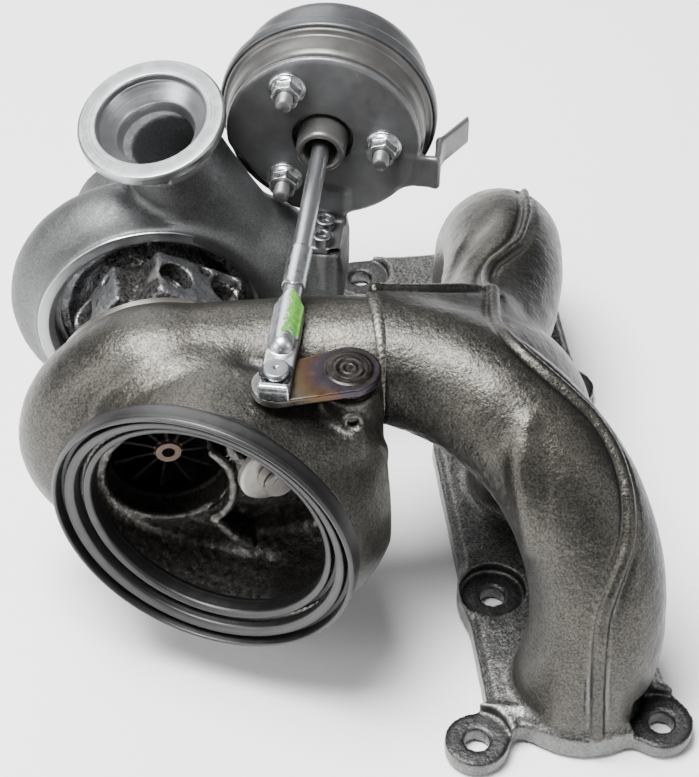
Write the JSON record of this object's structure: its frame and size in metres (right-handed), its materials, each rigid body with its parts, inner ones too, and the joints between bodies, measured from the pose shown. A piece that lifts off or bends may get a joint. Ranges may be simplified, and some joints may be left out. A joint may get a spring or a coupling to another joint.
{
  "type": "turbocharger",
  "caption": "Turbocharger with integral exhaust manifold: spinning rotor, V-band outlet, and a wastegate flap worked by a vacuum actuator through a rod and lever.",
  "frame": {"origin": "centre of the middle exhaust port on the head face of the manifold flange", "axes": "+X across the flange away from the turbine, +Y along the flange from turbine side to compressor side, +Z away from the cylinder head"},
  "size_m": [0.2139, 0.2479, 0.1636],
  "materials": {
    "cast_steel": "rough cast",
    "weld_metal": "satin",
    "wheel_alloy": "fine cast",
    "steel": "machined",
    "band_steel": "satin",
    "bronze": "machined",
    "black_casting": "black cast",
    "cast_aluminium": "fine cast",
    "wheel_aluminium": "milled",
    "gate_steel": "heat stained",
    "lever_steel": "heat tinted",
    "zinc_steel": "zinc plated",
    "rod_steel": "drawn",
    "clip_steel": "black phosphate",
    "shell_coat": "satin",
    "dome_coat": "satin",
    "diaphragm_rubber": "matte"
  },
  "bodies": {
    "housing": {"exhaust_manifold": "cast_steel", "turbine_housing": "cast_steel", "manifold_weld": "weld_metal", "turbine_piston_ring": "steel", "compressor_piston_ring": "steel", "oil_baffle": "steel", "seal_plate_ring": "steel", "heat_shield": "steel", "clamp_bolt": "steel", "clamp_nut": "steel", "housing_snap_ring": "steel", "actuator_spring": "steel", "turbine_clamp": "band_steel", "thrust_bearing": "bronze", "bearing_housing": "black_casting", "compressor_housing": "cast_aluminium", "seal_plate": "cast_aluminium", "wastegate_bush": "gate_steel", "bush_pin": "gate_steel", "actuator_nuts": "zinc_steel", "actuator_studs": "zinc_steel", "bracket_screws": "zinc_steel", "actuator_front_shell": "shell_coat", "actuator_bracket": "shell_coat", "actuator_rear_shell": "dome_coat", "vacuum_nipple": "dome_coat", "diaphragm": "diaphragm_rubber"},
    "rotor": {"turbine_wheel": "wheel_alloy", "rotor_shaft": "steel", "compressor_wheel": "wheel_aluminium", "shaft_nut": "steel", "thrust_collar": "steel", "oil_flinger": "steel"},
    "bearing_a": {"turbine_bearing": "bronze"},
    "bearing_b": {"compressor_bearing": "bronze"},
    "crank": {"wastegate_lever": "lever_steel", "wastegate_shaft": "gate_steel", "wastegate_arm": "gate_steel", "wastegate_valve": "gate_steel", "wastegate_washer": "gate_steel", "lever_pin": "zinc_steel", "pin_clip": "clip_steel"},
    "link": {"rod_end": "zinc_steel", "actuator_rod": "rod_steel", "actuator_piston": "dome_coat"}
  },
  "joints": [
    {"name": "rotor_spin", "type": "hinge", "parent": "housing", "child": "rotor", "pos_m": [-0.13, 0, 0.067], "axis": [0, 1, 0], "continuous": true},
    {"name": "bearing_a_spin", "type": "hinge", "parent": "housing", "child": "bearing_a", "pos_m": [-0.13, 0.0055, 0.067], "axis": [0, 1, 0], "continuous": true},
    {"name": "bearing_b_spin", "type": "hinge", "parent": "housing", "child": "bearing_b", "pos_m": [-0.13, 0.0275, 0.067], "axis": [0, 1, 0], "continuous": true},
    {"name": "wastegate_swing", "type": "hinge", "parent": "housing", "child": "crank", "pos_m": [-0.0737, -0.0492, 0.1], "axis": [0, 0, 1], "range_deg": [-18, 0], "deforming": ["actuator_spring", "diaphragm"]},
    {"name": "link_swing", "type": "hinge", "parent": "crank", "child": "link", "pos_m": [-0.0966, -0.0532, 0.124], "axis": [0, 0, 1], "range_deg": [0, 18]}
  ],
  "couplings": [
    {"joint": "bearing_a_spin", "follows": "rotor_spin", "ratio": 0.35},
    {"joint": "bearing_b_spin", "follows": "rotor_spin", "ratio": 0.35},
    {"joint": "link_swing", "follows": "wastegate_swing", "ratio": -0.98}
  ]
}
